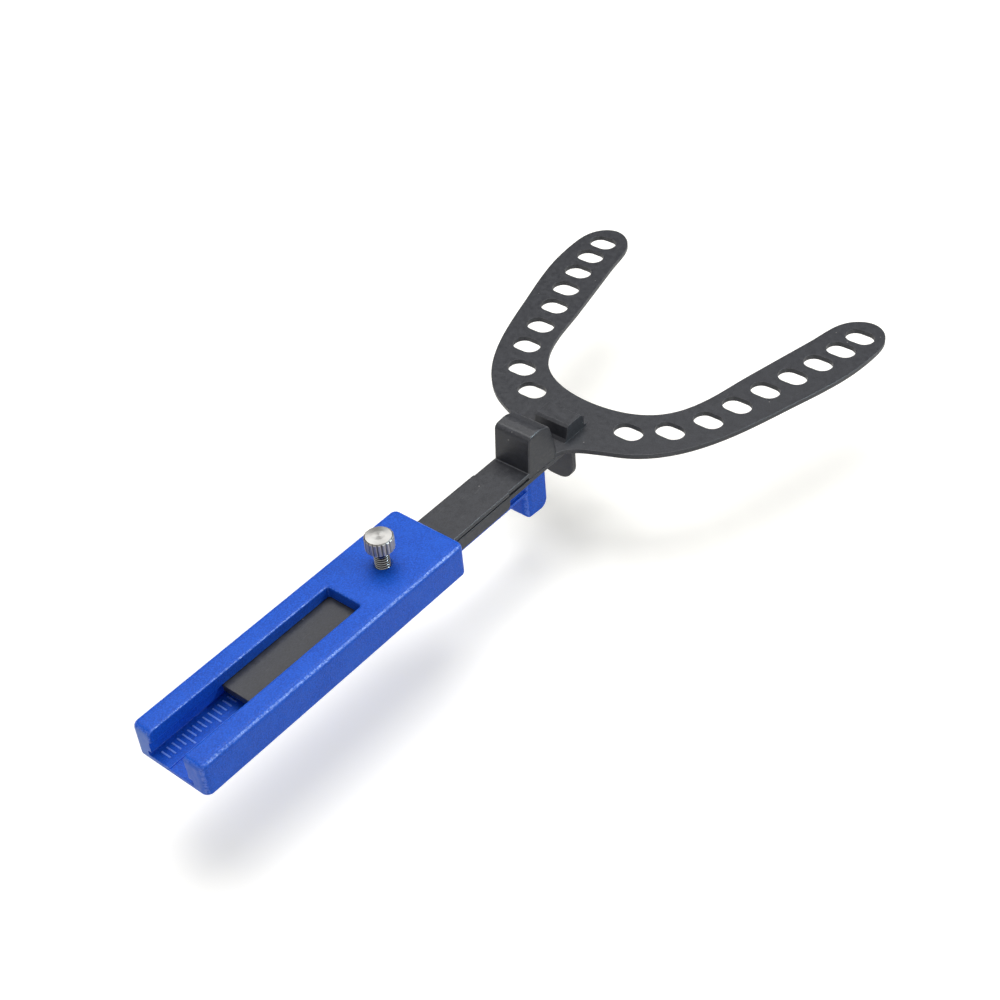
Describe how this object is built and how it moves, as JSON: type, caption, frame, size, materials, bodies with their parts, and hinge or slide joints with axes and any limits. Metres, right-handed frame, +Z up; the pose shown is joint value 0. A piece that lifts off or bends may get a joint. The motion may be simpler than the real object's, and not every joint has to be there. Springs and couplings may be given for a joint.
{
  "type": "bite registration gauge",
  "caption": "Handheld bite gauge: flat handle with a millimetre scale, sliding perforated U-shaped bite fork, sliding lower-incisor clamp and two knurled lock screws.",
  "frame": {"origin": "middle of the floor of the upper-incisor notch of the bite fork, at the modelled slide setting", "axes": "+Y along the handle towards the mouth, +X across the handle to the wearer's left, +Z up towards the upper teeth"},
  "size_m": [0.0662, 0.1444, 0.0179],
  "materials": {
    "blue_plastic": "fine-grained satin",
    "black_plastic": "satin moulded",
    "stud_steel": "polished thread",
    "knob_metal": "turned, straight knurl"
  },
  "bodies": {
    "handle": {"handle_body": "blue_plastic"},
    "fork": {"bite_fork": "black_plastic"},
    "clamp": {"incisor_clamp": "black_plastic"},
    "fork_stud": {"fork_lock_stud": "stud_steel"},
    "fork_knob": {"fork_lock_knob": "knob_metal"},
    "clamp_stud": {"clamp_lock_stud": "stud_steel"},
    "clamp_knob": {"clamp_lock_knob": "knob_metal"}
  },
  "joints": [
    {"name": "fork_slide", "type": "slide", "parent": "handle", "child": "fork", "axis": [0, 1, 0], "range_m": [-0.014, 0.018]},
    {"name": "clamp_slide", "type": "slide", "parent": "handle", "child": "clamp", "axis": [0, -1, 0], "range_m": [0, 0.0052]},
    {"name": "fork_stud_feed", "type": "slide", "parent": "handle", "child": "fork_stud", "axis": [0, 0, 1], "range_m": [-0.00003, 0.00135]},
    {"name": "fork_knob_turn", "type": "hinge", "parent": "fork_stud", "child": "fork_knob", "pos_m": [0, -0.0398, 0.006], "axis": [0, 0, 1], "range_deg": [-25, 1080.01]},
    {"name": "clamp_stud_feed", "type": "slide", "parent": "handle", "child": "clamp_stud", "axis": [0, 0, -1], "range_m": [-0.00003, 0.00135]},
    {"name": "clamp_knob_turn", "type": "hinge", "parent": "clamp_stud", "child": "clamp_knob", "pos_m": [0, -0.0348, -0.008], "axis": [0, 0, -1], "range_deg": [-25, 1080.01]}
  ],
  "couplings": [
    {"joint": "fork_knob_turn", "follows": "fork_stud_feed", "rad_per_m": 13963},
    {"joint": "clamp_knob_turn", "follows": "clamp_stud_feed", "rad_per_m": 13963}
  ]
}
